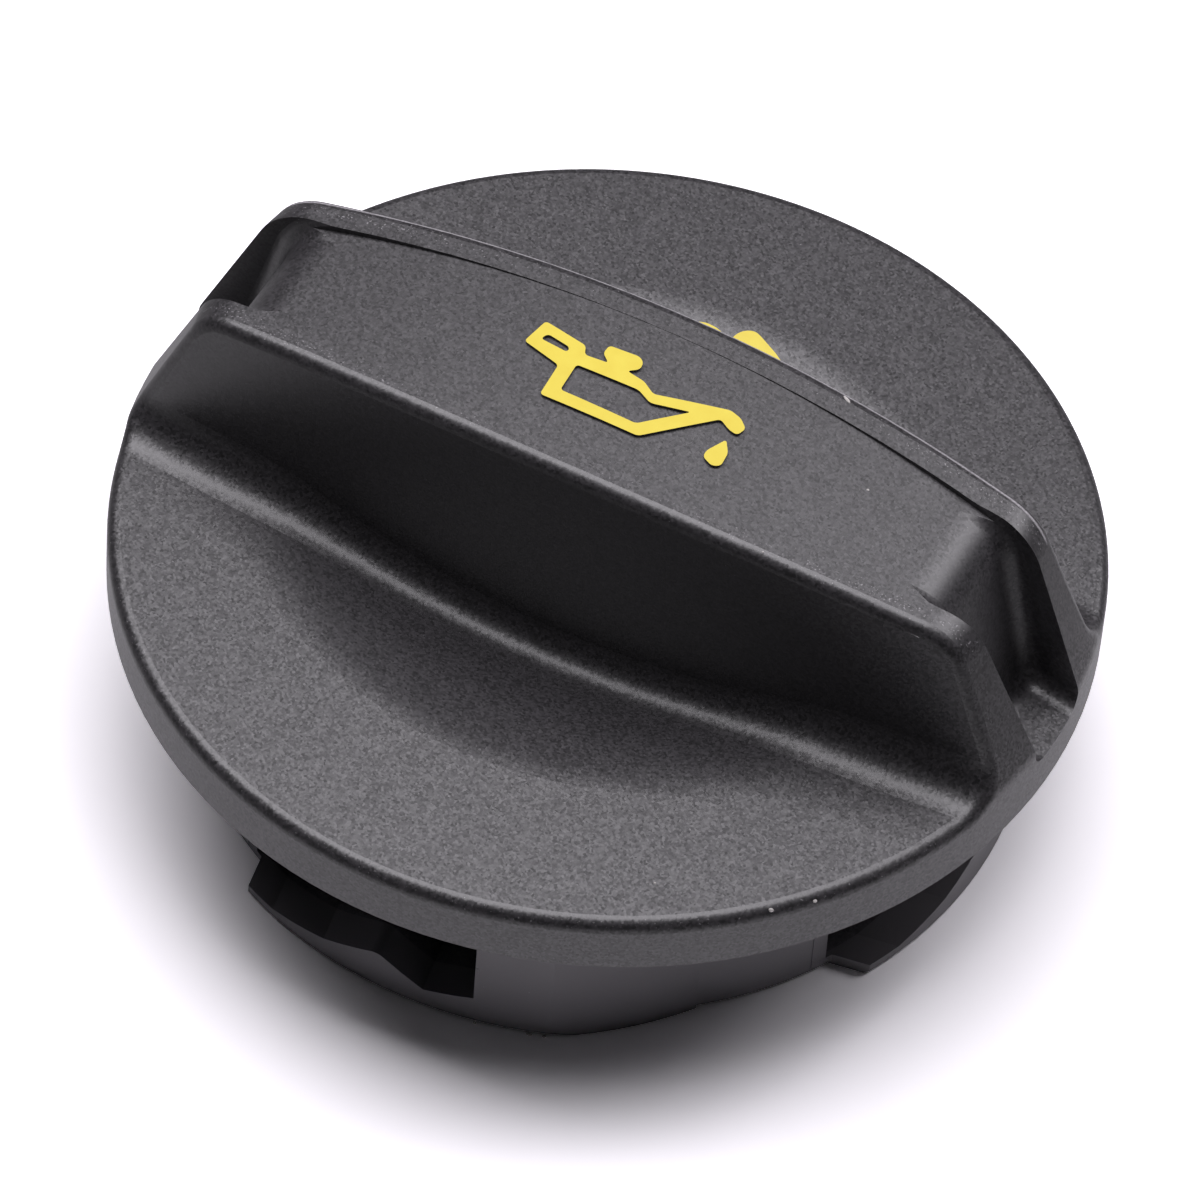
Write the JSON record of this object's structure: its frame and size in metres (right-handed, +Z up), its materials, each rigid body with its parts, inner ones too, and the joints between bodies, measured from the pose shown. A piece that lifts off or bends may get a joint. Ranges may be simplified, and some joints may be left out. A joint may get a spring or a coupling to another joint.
{
  "type": "engine oil filler cap",
  "caption": "Black moulded oil filler cap: an arched finger grip between upright fins, scooped finger wells, a rimmed disc and a hollow bayonet stub with ramped lugs and a rubber sealing ring.",
  "frame": {"origin": "on the cap's axis, in the plane that the lower end of the stub stands on", "axes": "+Z up along the cap's axis, X along the grip, -Y towards the side that the picture looks at"},
  "size_m": [0.061, 0.061, 0.0287],
  "materials": {
    "cap": "fine spark-eroded grain",
    "sealing_ring": "matte"
  },
  "bodies": {
    "root": {"cap": "cap", "sealing_ring": "sealing_ring"}
  },
  "joints": []
}
